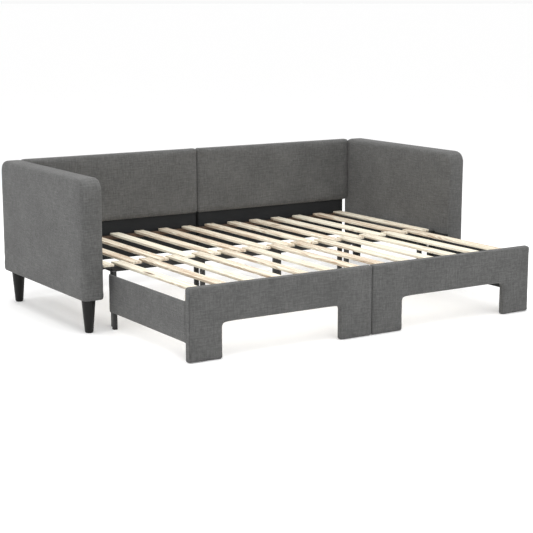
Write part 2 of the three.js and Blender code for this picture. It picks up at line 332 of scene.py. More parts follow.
@dataclass(frozen=True)
class Fleece(Finish):
    """Thin black non-woven lining, embossed with small dots."""

    name: str = "black_lining"
    slot: Slot | None = Slot.LINING
    specular: float = 0.2
    sheen: float = 0.08
    bump: float = 0.0002
    dots: float = 0.0028
    fibre: Cell = (0.0012, 0.004, 0.0012)
    crease: Cell = (0.12, 0.12, 0.05)
    matt: Span = (0.75, 0.95)
    dark: Colour = (0.008, 0.0085, 0.0092, 1)
    light: Colour = (0.022, 0.0235, 0.0255, 1)

    def pattern(self, graph: Graph) -> Surface:
        """Pressed dots between matted fibres.

        Args:
            graph: The material's tree.

        Returns:
            What feeds the shader's colour, roughness and bump.
        """
        place = graph.place()
        cells = graph.stretched(place, (self.dots,) * 3)
        inputs = {"Vector": cells, "Scale": 1.0, "Randomness": 0.25}
        dots = graph.add("ShaderNodeTexVoronoi", inputs).outputs[0]
        fibres = graph.noise(place, self.fibre, 3)
        creases = graph.noise(place, self.crease)
        tone = graph.total((dots, 0.35), (fibres, 0.6), (creases, 0.4))
        colour = graph.ramp(graph.spread(tone, (0.35, 1.0)), [(0, self.dark), (1, self.light)])
        return colour, graph.spread(fibres, (0.3, 0.7), self.matt), tone


@dataclass(frozen=True)
class Pine(Finish):
    """Planed, unfinished pine with grain along one axis, some knots and a tone for each plank."""

    name: str = "slat_pine"
    slot: Slot | None = Slot.PINE
    specular: float = 0.3
    bump: float = 0.00025
    grain: Axis = Axis.Y
    ring: Span = (0.0075, 1.6)
    bend: Span = (0.05, 0.55)
    fibre: Span = (0.0012, 0.05)
    streak: Span = (0.012, 0.35)
    knot_spacing: Span = (0.075, 0.42)
    knot_edge: Span = (0.17, 0.06)
    knot_rarity: float = 0.72
    jump: float = 3.7
    matt: Span = (0.5, 0.72)
    pale: Colour = (0.83, 0.78, 0.64, 1)
    tan: Colour = (0.46, 0.33, 0.225, 1)
    knot: Colour = (0.13, 0.075, 0.045, 1)

    def along(self, size: Span) -> Cell:
        """A cell with its width across the grain and its length along it.

        Args:
            size: The width and the length.

        Returns:
            Its size in X, Y and Z.
        """
        cell = [size[0]] * 3
        cell[self.grain.value] = size[1]
        return tuple(cell)

    def pattern(self, graph: Graph) -> Surface:
        """Bent growth rings, fibres, knots and the plank's own tone.

        Args:
            graph: The material's tree.

        Returns:
            What feeds the shader's colour, roughness and bump.
        """
        place = graph.place()
        plank = graph.add("ShaderNodeAttribute", attribute_name=PLANK).outputs["Fac"]
        jump = graph.vector(**{
            axis.name: graph.math("MULTIPLY", plank, self.jump + axis.value) for axis in Axis
        })
        moved = graph.add("ShaderNodeVectorMath", {0: place, 1: jump}, operation="ADD")
        place = moved.outputs[0]
        bend = graph.noise(place, self.along(self.bend))
        axes = graph.axes(graph.stretched(place, self.along(self.ring)))
        across = Axis.X if self.grain is Axis.Y else Axis.Y
        depth = graph.total((axes[across.value], 1.0), (axes[2], 0.8), (bend, 14.0))
        rings = graph.math("ABSOLUTE", graph.wave(depth, math.pi))
        fibres = graph.noise(place, self.along(self.fibre))
        streaks = graph.noise(place, self.along(self.streak))
        cell = graph.stretched(place, self.along(self.knot_spacing))
        spots = graph.add("ShaderNodeTexVoronoi", {"Vector": cell, "Scale": 1.0}).outputs
        draw = graph.add("ShaderNodeSeparateColor", {0: spots[1]}).outputs[0]
        chosen = graph.math("GREATER_THAN", draw, self.knot_rarity)
        near = graph.math("MULTIPLY", graph.spread(spots[0], self.knot_edge), chosen)
        white = graph.add("ShaderNodeTexWhiteNoise", {"W": plank}, noise_dimensions="1D")
        tone = white.outputs[0]
        shade = graph.total((rings, 0.3), (fibres, 0.25), (streaks, 0.85), (tone, 0.24))
        stops = [(0, self.pale), (0.32, self.pale), (1, self.tan)]
        wood = graph.ramp(graph.spread(shade, (0.6, 1.1)), stops)
        inputs = {0: near, 6: wood, 7: self.knot}
        mixed = graph.add("ShaderNodeMix", inputs, data_type="RGBA").outputs[2]
        height = graph.total((rings, 0.4), (fibres, 0.9), (near, -0.6))
        return mixed, graph.spread(fibres, (0.3, 0.7), self.matt), height


@dataclass(frozen=True)
class Plywood(Finish):
    """Board with its layers showing on the edges."""

    name: str = "frame_plywood"
    specular: float = 0.3
    layer: float = 0.0016
    fibre: Cell = (0.12, 0.002, 0.003)
    matt: Span = (0.6, 0.8)
    dark: Colour = (0.33, 0.2, 0.1, 1)
    light: Colour = (0.62, 0.43, 0.25, 1)

    def pattern(self, graph: Graph) -> Surface:
        """Alternating layers through the thickness and long fibres on the face.

        Args:
            graph: The material's tree.

        Returns:
            What feeds the shader's colour, roughness and bump.
        """
        place = graph.place()
        layers = graph.wave(graph.axes(place)[1], math.pi / self.layer)
        fibres = graph.noise(place, self.fibre, 3)
        shade = graph.total((layers, 0.2), (fibres, 0.8))
        colour = graph.ramp(shade, [(0.1, self.dark), (0.8, self.light)])
        return colour, graph.spread(fibres, (0.3, 0.7), self.matt), shade


@dataclass(frozen=True)
class Coating(Finish):
    """A coat on steel, wood or plastic: one tone, fine relief and slightly worn patches."""

    name: str = "powder_coat"
    tone: Colour = (0.012, 0.012, 0.0125, 1)
    worn: Colour = (0.03, 0.03, 0.031, 1)
    relief: Cell = (0.0009,) * 3
    patch: Cell = (0.05,) * 3
    gloss: Span = (0.38, 0.52)
    bump: float = 0.00012

    def pattern(self, graph: Graph) -> Surface:
        """Fine relief over patches that differ a little in tone and gloss.

        Args:
            graph: The material's tree.

        Returns:
            What feeds the shader's colour, roughness and bump.
        """
        place = graph.place()
        grain = graph.noise(place, self.relief)
        patches = graph.noise(place, self.patch, 3)
        shade = graph.spread(graph.total((grain, 0.5), (patches, 0.5)), (0.38, 0.62))
        colour = graph.ramp(shade, [(0, self.tone), (1, self.worn)])
        return colour, graph.spread(patches, (0.35, 0.65), self.gloss), grain


LINEN = Linen()
FLEECE = Fleece()
LINED_BOARD = Fleece(slot=Slot.PLYWOOD)
SLAT_PINE = Pine()
LEDGE_PINE = Pine(name="pine_ledge", grain=Axis.X)
# Painted shade: the rear ledge is plain pine. Its very dark tone stands in for the shade between
# the slat ends.
SHADE_DARKENED_PINE = Pine(
    name="stained_pine", grain=Axis.X, pale=(0.085, 0.05, 0.032, 1), tan=(0.05, 0.029, 0.018, 1),
    knot=(0.02, 0.011, 0.007, 1),
)
PLYWOOD = Plywood()
POWDER_COAT = Coating(slot=Slot.STEEL)
LACQUER = Coating(
    name="black_lacquer", slot=Slot.LEG, tone=(0.004, 0.004, 0.004, 1),
    worn=(0.008, 0.0078, 0.0076, 1), relief=(0.0022, 0.0022, 0.05), gloss=(0.34, 0.46),
    specular=0.2, coat=0.03,
)
PLASTIC = Coating(name="black_plastic", relief=(0.0006,) * 3, gloss=(0.5, 0.6))
ZINC = Coating(
    name="zinc_plate", tone=(0.5, 0.5, 0.49, 1), worn=(0.66, 0.65, 0.62, 1), metallic=1.0,
    gloss=(0.28, 0.42),
)


# Meshes


def read(items: Sequence, name: str, width: int = 1, kind: type = float) -> np.ndarray:
    """Reads one attribute of all items.

    Args:
        items: The mesh's points, faces or face corners.
        name: The attribute.
        width: How many numbers each item has.
        kind: Type of the numbers.

    Returns:
        The numbers, in rows where an item has several.
    """
    found = np.empty(len(items) * width, kind)
    items.foreach_get(name, found)
    return found.reshape(-1, width) if width > 1 else found


def put(name: str, mesh: Mesh) -> Piece:
    """Puts a mesh into the scene under a name.

    Args:
        name: The object's name.
        mesh: Its mesh.

    Returns:
        The object.
    """
    mesh.name = name
    made = bpy.data.objects.new(name, mesh)
    bpy.context.scene.collection.objects.link(made)
    return made


def from_bmesh(name: str, form: bmesh.types.BMesh) -> Piece:
    """Turns a bmesh into an object with its faces pointing outwards.

    Args:
        name: The object's name.
        form: The shape, which is freed.

    Returns:
        The object.
    """
    bmesh.ops.recalc_face_normals(form, faces=form.faces)
    mesh = bpy.data.meshes.new(name)
    form.to_mesh(mesh)
    form.free()
    return put(name, mesh)


def evaluated(piece: Piece) -> Mesh:
    """A plain mesh of the piece as its modifiers shape it."""
    seen = piece.evaluated_get(bpy.context.evaluated_depsgraph_get())
    return bpy.data.meshes.new_from_object(seen)


def freeze(piece: Piece) -> None:
    """Applies all modifiers, so that the piece is a plain mesh.

    Args:
        piece: The piece.
    """
    mesh = evaluated(piece)
    piece.modifiers.clear()
    old, piece.data = piece.data, mesh
    bpy.data.meshes.remove(old)


def modify(piece: Piece, kind: str, **settings: object) -> None:
    """Applies one modifier with the given settings.

    Args:
        piece: The piece.
        kind: The modifier's type name.
        **settings: Its properties.
    """
    modifier = piece.modifiers.new(kind.lower(), kind)
    for name, value in settings.items():
        setattr(modifier, name, value)
    freeze(piece)


def cut(piece: Piece, *cutters: Piece) -> None:
    """Takes the cutters' space out of the piece and removes the cutters.

    Args:
        piece: The piece.
        *cutters: The objects that cut it.
    """
    for cutter in cutters:
        modify(piece, "BOOLEAN", operation="DIFFERENCE", solver="EXACT", object=cutter)
        bpy.data.objects.remove(cutter)


def rounded(form: bmesh.types.BMesh, edges: Iterable, width: float, clamp: bool = False) -> None:
    """Rounds edges in two steps.

    Args:
        form: The shape.
        edges: Its edges to round.
        width: How wide.
        clamp: Whether a bevel stops where it meets another.
    """
    bmesh.ops.bevel(
        form, geom=edges, offset=width, segments=2, profile=0.5, affect="EDGES",
        clamp_overlap=clamp,
    )


def box(name: str, low: Sequence[float], high: Sequence[float], bevel: float = 0.0) -> Piece:
    """A block between two corners.

    Args:
        name: The object's name.
        low: Lowest corner.
        high: Highest corner.
        bevel: Width of its rounded edges, or 0.

    Returns:
        The object.
    """
    form = bmesh.new()
    bmesh.ops.create_cube(form, size=1.0)
    middle = (Vector(low) + Vector(high)) / 2
    size = Vector(high) - Vector(low)
    for vertex in form.verts:
        vertex.co = Vector(a * b for a, b in zip(vertex.co, size)) + middle
    if bevel:
        rounded(form, form.edges, bevel)
    return from_bmesh(name, form)


def lathe(name: str, profile: Sequence[Span], steps: int, axis: Span = (0, 0)) -> Piece:
    """Turns a profile about an upright axis.

    Args:
        name: The object's name.
        profile: Radius and height of each point, from the axis round to the axis.
        steps: How many steps it turns in.
        axis: Where the axis stands, in X and Y.

    Returns:
        The object.
    """
    form = bmesh.new()
    points = [form.verts.new((axis[0] + r, axis[1], z)) for r, z in profile]
    edges = [form.edges.new(pair) for pair in zip(points, points[1:])]
    bmesh.ops.spin(
        form, geom=points + edges, cent=(*axis, 0), axis=UP, angle=math.tau, steps=steps,
        use_duplicate=False,
    )
    bmesh.ops.remove_doubles(form, verts=form.verts, dist=MERGE)
    return from_bmesh(name, form)


def map_weave(mesh: Mesh, seed: int = 0) -> None:
    """Lays the weave map, in metres, on the face direction that each polygon looks in.

    Args:
        mesh: The mesh.
        seed: Shifts the cloth, so that two pieces don't show the same slubs.
    """
    for extra in list(mesh.uv_layers):
        mesh.uv_layers.remove(extra)
    layer = mesh.uv_layers.new(name=WEAVE_MAP)
    corners = read(mesh.loops, "vertex_index", kind=int)
    sizes = read(mesh.polygons, "loop_total", kind=int)
    facing = np.abs(read(mesh.polygons, "normal", 3)).argmax(axis=1)
    across = np.repeat(np.where(facing == Axis.X.value, 1, 0), sizes)
    up = np.repeat(np.where(facing == Axis.Z.value, 1, 2), sizes)
    at = read(mesh.vertices, "co", 3)[corners]
    rows = np.arange(len(corners))
    shift = np.array([0.37, 0.61]) * seed
    flat = np.stack([at[rows, across], at[rows, up]], axis=1) + shift
    layer.data.foreach_set("uv", flat.astype(np.float32).ravel())


def shade(piece: Piece, sharp: float = 40.0) -> None:
    """Shades smoothly, with edges sharper than the angle in degrees left crisp.

    Args:
        piece: The piece.
        sharp: The angle.
    """
    mesh = piece.data
    mesh.polygons.foreach_set("use_smooth", [True] * len(mesh.polygons))
    mesh.set_sharp_from_angle(angle=math.radians(sharp))
    mesh.update()


def paint(piece: Piece, *finishes: Finish) -> None:
    """Gives a piece its materials, in slot order.

    Args:
        piece: The piece.
        *finishes: Their finishes.
    """
    piece.data.materials.clear()
    for finish in finishes:
        piece.data.materials.append(finish.material())


def hand_over(piece: Piece, slot: Slot | None, *nodes: str) -> None:
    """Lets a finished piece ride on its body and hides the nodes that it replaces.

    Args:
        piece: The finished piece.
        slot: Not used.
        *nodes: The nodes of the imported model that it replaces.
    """
    body = Body.of(piece.name).value
    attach(piece, body)
    if nodes:
        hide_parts(*nodes)
    LOG.info("%s: %d faces on %s", piece.name, len(piece.data.polygons), body)


def mirrored(left: Piece) -> Piece:
    """A left piece's mirror image on the right, its faces turned outwards again.

    Args:
        left: The left piece.

    Returns:
        The right piece.
    """
    mesh = left.data.copy()
    points = read(mesh.vertices, "co", 3)
    points[:, 0] *= -1
    mesh.vertices.foreach_set("co", points.ravel())
    mesh.flip_normals()
    mesh.update()
    return put(left.name.replace(Side.LEFT.label, Side.RIGHT.label), mesh)


def upholster(left: Piece, node: str, seed: int, lined: float = 0.0,
              below: float = math.inf) -> None:
    """Dresses a padded piece and its mirror image in linen and hands both over.

    Args:
        left: The left piece, with its side in its name.
        node: What the nodes that they replace are called before their side.
        seed: Shifts the cloth, differently on each side.
        lined: How squarely a face looks inwards to be lined instead, or 0 for none.
        below: Height that lined faces stay under.
    """
    for side, piece in ((Side.LEFT, left), (Side.RIGHT, mirrored(left))):
        map_weave(piece.data, seed + side.value)
        shade(piece, SOFT_CREASE)
        paint(piece, LINEN, *([FLEECE] if lined else []))
        if lined:
            for face in piece.data.polygons:
                inside = face.normal.x * side.value < -lined and face.center.z < below
                face.material_index = int(inside)
        hand_over(piece, LINEN.slot, f"{node}_{side.label}")


def ease(node: str, finish: Finish, edge: float, lift: float = 0.0) -> None:
    """Replaces a stiff part by one with the soft edges that it really has.

    Args:
        node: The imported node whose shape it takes.
        finish: Its finish.
        edge: Width of the rounded edges.
        lift: How far ends that stand on the floor are raised, to make room for a cap.
    """
    form = bmesh.new()
    form.from_mesh(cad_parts[node].data)
    bmesh.ops.remove_doubles(form, verts=form.verts, dist=MERGE)
    flat = math.radians(1)
    bmesh.ops.dissolve_limit(form, angle_limit=flat, verts=form.verts, edges=form.edges)
    for vertex in form.verts:
        if vertex.co.z < ON_FLOOR:
            vertex.co.z += lift
    crisp = math.radians(30)
    sharp = [e for e in form.edges if len(e.link_faces) == 2 and e.calc_face_angle() > crisp]
    rounded(form, sharp, edge, clamp=True)
    piece = from_bmesh(f"{node}_finished", form)
    map_weave(piece.data)
    shade(piece)
    paint(piece, finish)
    hand_over(piece, finish.slot, node)


@dataclass(frozen=True)
class Corner:
    """A corner of an outline and the radius that rounds it."""

    u: float
    v: float
    radius: float


@dataclass(frozen=True)
class Outline:
    """A closed outline of square-on sides, anticlockwise, with every corner rounded."""

    corners: tuple[Corner, ...]
    arc_steps: int = 6
    least_radius: float = 1e-5

    @staticmethod
    def rectangle(low: Span, high: Span, bottom: float, top: float) -> "Outline":
        """A rectangle with one radius below and one above."""
        (u0, v0), (u1, v1) = low, high
        return Outline.of((u0, v0, bottom), (u1, v0, bottom), (u1, v1, top), (u0, v1, top))

    @staticmethod
    def of(*places: Cell) -> "Outline":
        """An outline through corners of the given place and radius."""
        return Outline(tuple(Corner(*place) for place in places))

    def points(self, inset: float) -> list[Span]:
        """The outline moved inwards, always with the same number of points.

        Args:
            inset: How far every side moves in.

        Returns:
            The points in order.
        """
        made = []
        count = len(self.corners)
        for i, corner in enumerate(self.corners):
            before, after = self.corners[i - 1], self.corners[(i + 1) % count]
            way_in = Vector((corner.u - before.u, corner.v - before.v)).normalized()
            way_out = Vector((after.u - corner.u, after.v - corner.v)).normalized()
            turn = way_in.x * way_out.y - way_in.y * way_out.x
            radius = max(corner.radius - inset * turn, self.least_radius)
            inward = Vector((-way_in.y - way_out.y, way_in.x + way_out.x))
            tip = Vector((corner.u, corner.v)) + inward * inset
            centre = tip + (way_out - way_in) * radius
            for step in range(self.arc_steps + 1):
                angle = math.pi / 2 * step / self.arc_steps
                spoke = -way_out * math.cos(angle) + way_in * math.sin(angle)
                made.append(tuple(centre + spoke * radius))
        return made


@dataclass(frozen=True)
class Slab:
    """A flat body with an outline and rounded edges all round."""

    outline: Outline
    span: Span
    across: Axis
    edge: float
    edge_steps: int = 4

    def place(self, u: float, v: float, w: float) -> tuple[float, float, float]:
        """A point of the slab in the frame."""
        return {Axis.X: (w, u, v), Axis.Y: (u, w, v), Axis.Z: (u, v, w)}[self.across]

    def build(self, name: str) -> Piece:
        """Builds it as one closed mesh.

        Args:
            name: The object's name.

        Returns:
            The object.
        """
        low, high = self.span
        angles = [math.pi / 2 * i / self.edge_steps for i in range(self.edge_steps + 1)]
        rings = [
            (self.edge * (1 - math.sin(a)), low + self.edge * (1 - math.cos(a))) for a in angles
        ]
        rings += [(inset, low + high - w) for inset, w in reversed(rings)]
        form = bmesh.new()
        loops = [
            [form.verts.new(self.place(u, v, w)) for u, v in self.outline.points(inset)]
            for inset, w in rings
        ]
        count = len(loops[0])
        for lower, upper in zip(loops, loops[1:]):
            for i in range(count):
                j = (i + 1) % count
                form.faces.new((lower[i], lower[j], upper[j], upper[i]))
        form.faces.new(loops[0])
        form.faces.new(loops[-1])
        bmesh.ops.remove_doubles(form, verts=form.verts, dist=SLIVER)
        return from_bmesh(name, form)


Held = Callable[[np.ndarray], np.ndarray]


@dataclass(frozen=True)
class Filling:
    """How a cover is filled: it swells under pressure, as far as the foam behind it lets it."""

    swell: float
    voxel: float
    pressure: float = 4.0
    stretch: float = 12
    bending: float = 1.5
    slack: float = 0.006
    quality: int = 4
    frames: int = 20
    smoothing: int = 2

    def inflate(self, piece: Piece, held: Held) -> None:
        """Simulates the cover as cloth and keeps the result as a plain mesh.

        Args:
            piece: The closed body, smaller all round by the swell.
            held: Says for each point, in rows of three, whether staples hold it.
        """
        modify(piece, "REMESH", mode="VOXEL", voxel_size=self.voxel)
        modify(piece, "SMOOTH", factor=0.5, iterations=self.smoothing)
        self.simulate(piece, held)
        modify(piece, "SMOOTH", factor=0.5, iterations=self.smoothing)
        modify(piece, "SUBSURF", levels=1, render_levels=1)

    def simulate(self, piece: Piece, held: Held) -> None:
        """Runs the cloth and lets no point move further than the swell.

        Args:
            piece: The remeshed body.
            held: Says which points staples hold.
        """
        rest = read(piece.data.vertices, "co", 3)
        staples = piece.vertex_groups.new(name="staples")
        staples.add(np.flatnonzero(held(rest)).tolist(), 1.0, "REPLACE")
        cloth = piece.modifiers.new("cloth", "CLOTH").settings
        for name, value in {
            "quality": self.quality,
            "use_pressure": True,
            "uniform_pressure_force": self.pressure,
            "tension_stiffness": self.stretch,
            "compression_stiffness": self.stretch,
            "bending_stiffness": self.bending,
            "shrink_min": -self.slack,
            "vertex_group_mass": staples.name,
        }.items():
            setattr(cloth, name, value)
        cloth.effector_weights.gravity = 0
        scene = bpy.context.scene
        for number in range(1, self.frames + 1):
            scene.frame_set(number)
        swollen = evaluated(piece)
        moved = read(swollen.vertices, "co", 3) - rest
        bpy.data.meshes.remove(swollen)
        piece.modifiers.clear()
        piece.vertex_groups.clear()
        scene.frame_set(1)
        length = np.linalg.norm(moved, axis=1, keepdims=True)
        kept = rest + moved * np.minimum(1, self.swell / np.maximum(length, 1e-9))
        piece.data.vertices.foreach_set("co", kept.ravel())
        piece.data.update()


# Repeated pieces


class Tree:
    """A Geometry Nodes tree with named inputs."""

    def __init__(self, name: str, **inputs: str) -> None:
        """Makes the tree's sockets.

        Args:
            name: The tree's name.
            **inputs: What kind of socket each input is.
        """
        self.tree = bpy.data.node_groups.new(name, "GeometryNodeTree")
        self.socket("Points", "INPUT", "Geometry")
        self.inputs = {key: self.socket(key, "INPUT", kind) for key, kind in inputs.items()}
        self.socket("Geometry", "OUTPUT", "Geometry")
        self.graph = Graph(self.tree)
        self.given = self.graph.add("NodeGroupInput").outputs

    def socket(self, name: str, way: str, kind: str) -> str:
        """Adds a socket and gives its identifier."""
        made = self.tree.interface.new_socket(name, in_out=way, socket_type=f"NodeSocket{kind}")
        return made.identifier

    def instances(self, points: Socket, shape: Socket, **more: Socket) -> Socket:
        """A copy of an object on every point.

        Args:
            points: The points.
            shape: The object.
            **more: Other inputs of the copying node.

        Returns:
            The copies.
        """
        shape = self.graph.add("GeometryNodeObjectInfo", {0: shape}).outputs["Geometry"]
        inputs = {"Points": points, "Instance": shape, **more}
        return self.graph.add("GeometryNodeInstanceOnPoints", inputs).outputs[0]

    def finish(self, instances: Socket) -> None:
        """Ends the tree: instances made real, and the material set.

        Args:
            instances: The copies.
        """
        real = self.graph.add("GeometryNodeRealizeInstances", {0: instances}).outputs[0]
        inputs = {0: real, "Material": self.given["Material"]}
        painted = self.graph.add("GeometryNodeSetMaterial", inputs)
        self.graph.add("NodeGroupOutput", {0: painted.outputs[0]})

    def run(self, name: str, points: Mesh, shape: Piece, **values: object) -> Piece:
        """Runs the tree, keeps its result as a plain mesh and removes the shape.

        Args:
            name: The piece's name.
            points: The mesh whose points carry the copies.
            shape: The object that is repeated.
            **values: The tree's other inputs.

        Returns:
            The piece.
        """
        piece = put(name, points)
        modifier = piece.modifiers.new("repeat", "NODES")
        modifier.node_group = self.tree
        for key, value in {"Shape": shape, **values}.items():
            modifier[self.inputs[key]] = value
        freeze(piece)
        piece.data.name = name
        bpy.data.objects.remove(shape)
        return piece


class SlatRow(Tree):
    """A row of equal slats at an even pitch."""

    def __init__(self) -> None:
        """Builds the tree: a line of points, one slat on each, and a number for its tone."""
        super().__init__(
            "slat_row", Shape="Object", Count="Int", Pitch="Float", First="Float", Series="Float",
            Material="Material",
        )
        graph, given = self.graph, self.given
        start, step = graph.vector(X=given["First"]), graph.vector(X=given["Pitch"])
        inputs = {"Count": given["Count"], "Start Location": start, "Offset": step}
        line = graph.add("GeometryNodeMeshLine", inputs).outputs[0]
        copies = self.instances(line, given["Shape"])
        index = graph.add("GeometryNodeInputIndex").outputs[0]
        number = graph.math("ADD", index, given["Series"])
        inputs = {"Geometry": copies, "Name": PLANK, "Value": number}
        numbered = graph.add("GeometryNodeStoreNamedAttribute", inputs, domain="INSTANCE")
        self.finish(numbered.outputs[0])


class FixingSet(Tree):
    """Equal fixings on given points, each turned the way that its point says."""

    def __init__(self) -> None:
        """Builds the tree: the fixing's +Z looks along one attribute and its +X along the other."""
        super().__init__(
            "fixings", Shape="Object", Twist="Float", Seed="Int", Material="Material"
        )
        graph, given = self.graph, self.given
        upright = self.aligned({"Vector": self.attribute(FACING)}, axis="Z")
        inputs = {"Rotation": upright, "Vector": self.attribute(ALONG)}
        turned = self.aligned(inputs, axis="X", pivot_axis="Z")
        low = graph.math("MULTIPLY", given["Twist"], -1.0)
        inputs = {2: low, 3: given["Twist"], "Seed": given["Seed"]}
        twist = graph.add("FunctionNodeRandomValue", inputs).outputs[1]
        spin = graph.add("FunctionNodeEulerToRotation", {0: graph.vector(Z=twist)}).outputs[0]
        inputs = {0: turned, 1: spin}
        final = graph.add("FunctionNodeRotateRotation", inputs, rotation_space="LOCAL").outputs[0]
        self.finish(self.instances(given["Points"], given["Shape"], Rotation=final))

    def attribute(self, name: str) -> Socket:
        """A direction that every point carries."""
        kind = "GeometryNodeInputNamedAttribute"
        return self.graph.add(kind, {0: name}, data_type="FLOAT_VECTOR").outputs[0]

    def aligned(self, inputs: dict, **settings: str) -> Socket:
        """A rotation with one axis turned to a direction."""
        return self.graph.add("FunctionNodeAlignRotationToVector", inputs, **settings).outputs[0]


@dataclass(frozen=True)
class Spot:
    """Where a fixing sits, the way its head looks and the way it lies."""

    place: Vector
    facing: Vector
    along: Vector = Vector((1, 0, 0))


def evenly(low: float, high: float, pitch: float, margin: float) -> list[float]:
    """Places along a line at about the given pitch, with a margin at both ends."""
    count = int((high - low) / pitch)
    return [low + margin + (high - low - 2 * margin) * i / count for i in range(count + 1)]


@dataclass
class Fixings:
    """Screws, bolts, staples and caps, made once and repeated."""

    screw_radius: float = 0.0042
    recess: Span = (0.62, 0.13)
    bolt_radius: float = 0.0075
    bolt_steps: int = 18
    staple_length: float = 0.011
    staple_wire: float = 0.0008
    cap_width: float = 0.0204
    cap_height: float = 0.006
    cap_edge: float = 0.0012
    leg_apart: float = 0.05
    tree: FixingSet = field(default_factory=FixingSet)

    def screw(self) -> Piece:
        """A countersunk head with a cross recess, its rim level with the wood.

        Returns:
            The screw.
        """
        form = bmesh.new()
        r = self.screw_radius
        head = bmesh.ops.create_cone(
            form, cap_ends=True, segments=16, radius1=r * 0.5, radius2=r, depth=r * 0.5
        )
        bmesh.ops.translate(form, verts=head["verts"], vec=(0, 0, -r * 0.25 + FIT))
        solid = from_bmesh("screw", form)
        arm, half = (r * part for part in self.recess)
        for x, y in ((arm, half), (half, arm)):
            cut(solid, box("recess", (-x, -y, -r * 0.2), (x, y, r)))
        return solid

    def bolt(self) -> Piece:
        """A low round head with a hexagon socket, on a washer.

        Returns:
            The bolt.
        """
        profile = [
            (0.0, 0.0), (1.3, 0.0), (1.3, 0.15), (1.0, 0.16), (0.96, 0.4), (0.75, 0.58),
            (0.45, 0.64), (0.42, 0.64), (0.42, 0.35), (0.0, 0.33),
        ]
        r = self.bolt_radius
        return lathe("bolt", [(x * r, z * r) for x, z in profile], self.bolt_steps)

    def staple(self) -> Piece:
        """The crown of a staple, with the start of both of its legs.

        Returns:
            The staple.
        """
        half, wire = self.staple_length / 2, self.staple_wire
        low, high = (-half, -wire / 2, -wire), (half, wire / 2, wire * 0.6)
        return box("staple", low, high, wire * 0.25)

    def cap(self) -> Piece:
        """The plastic cap on the end of a square tube leg.

        Returns:
            The cap.
        """
        half = self.cap_width / 2
        low, high = (-half, -half, 0), (half, half, self.cap_height - FIT)
        return box("cap", low, high, self.cap_edge)

    def place(self, name: str, shape: Piece, finish: Finish, spots: list[Spot],
              twist: float = 0.0) -> None:
        """Repeats a fixing.

        Args:
            name: The piece's name.
            shape: The fixing, which is removed afterwards.
            finish: Its finish.
            spots: Where the fixings go.
            twist: How far each may be turned at random, in radians.
        """
        points = bpy.data.meshes.new(name)
        points.from_pydata([s.place for s in spots], [], [])
        for key, values in ((FACING, [s.facing for s in spots]), (ALONG, [s.along for s in spots])):
            layer = points.attributes.new(key, "FLOAT_VECTOR", "POINT")
            layer.data.foreach_set("vector", np.array(values, np.float32).ravel())
        material = finish.material()
        piece = self.tree.run(name, points, shape, Twist=twist, Seed=len(spots), Material=material)
        shade(piece)
        hand_over(piece, None)

    def capped(self, node: str, edge: float) -> list[Spot]:
        """Eases a steel part that stands on square legs, raised to make room for their caps.

        Args:
            node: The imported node.
            edge: Width of its rounded edges.

        Returns:
            The spots of the caps.
        """
        points = sorted({
            (round(v.co.x, 4), round(v.co.y, 4))
            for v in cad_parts[node].data.vertices if v.co.z < ON_FLOOR
        })
        legs: list[list[Span]] = []
        for point in points:
            if legs and point[0] - legs[-1][-1][0] < self.leg_apart:
                legs[-1].append(point)
            else:
                legs.append([point])
        ease(node, POWDER_COAT, edge, self.cap_height)
        ends = [np.array(leg) for leg in legs]
        middles = [(end.min(axis=0) + end.max(axis=0)) / 2 for end in ends]
        return [Spot(Vector((x, y, 0)), UP) for x, y in middles]


# Sub-assemblies


@dataclass
class TaperedLegs:
    """Turned, lacquered legs with a plastic glide under each."""

    foot_band: float = 0.003
    foot_chamfer: Span = (0.0015, 0.002)
    collar: float = 0.007
    collar_step: Span = (0.0004, 0.002)
    top_chamfer: float = 0.0012
    glide: float = 0.004
    glide_inset: float = 0.0025
    glide_chamfer: Span = (0.002, 0.0015)
    steps: int = 56
    crease: float = 50.0

    def build(self, node: str) -> None:
        """Builds one leg and its glide.

        Args:
            node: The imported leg.
        """
        low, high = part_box(node)
        middle = (low + high) / 2
        points = [v.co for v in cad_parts[node].data.vertices]
        foot = max((p - middle).xy.length for p in points if p.z < self.foot_band)
        top, glide = (high.x - low.x) / 2, self.glide
        (step, rise), (side, bevel) = self.collar_step, self.foot_chamfer
        profile = [
            (0, glide), (foot - side, glide), (foot, glide + bevel),
            (top - step, high.z - self.collar), (top, high.z - self.collar + rise),
            (top, high.z - self.top_chamfer), (top - self.top_chamfer, high.z), (0, high.z),
        ]
        self.turn(f"{node}_turned", middle, profile, LACQUER, node)
        rim = foot - self.glide_inset
        side, bevel = self.glide_chamfer
        profile = [(0, 0), (rim - side, 0), (rim, bevel), (rim, glide - FIT), (0, glide - FIT)]
        self.turn(f"{node}_glide", middle, profile, PLASTIC)

    def turn(self, name: str, middle: Vector, profile: list[Span], finish: Finish,
             *nodes: str) -> None:
        """Turns a profile and finishes the piece.

        Args:
            name: The piece's name.
            middle: A point on its axis.
            profile: Radius and height of each point.
            finish: Its finish.
            *nodes: The nodes that it replaces.
        """
        piece = lathe(name, profile, self.steps, (middle.x, middle.y))
        shade(piece, self.crease)
        paint(piece, finish)
        hand_over(piece, finish.slot, *nodes)


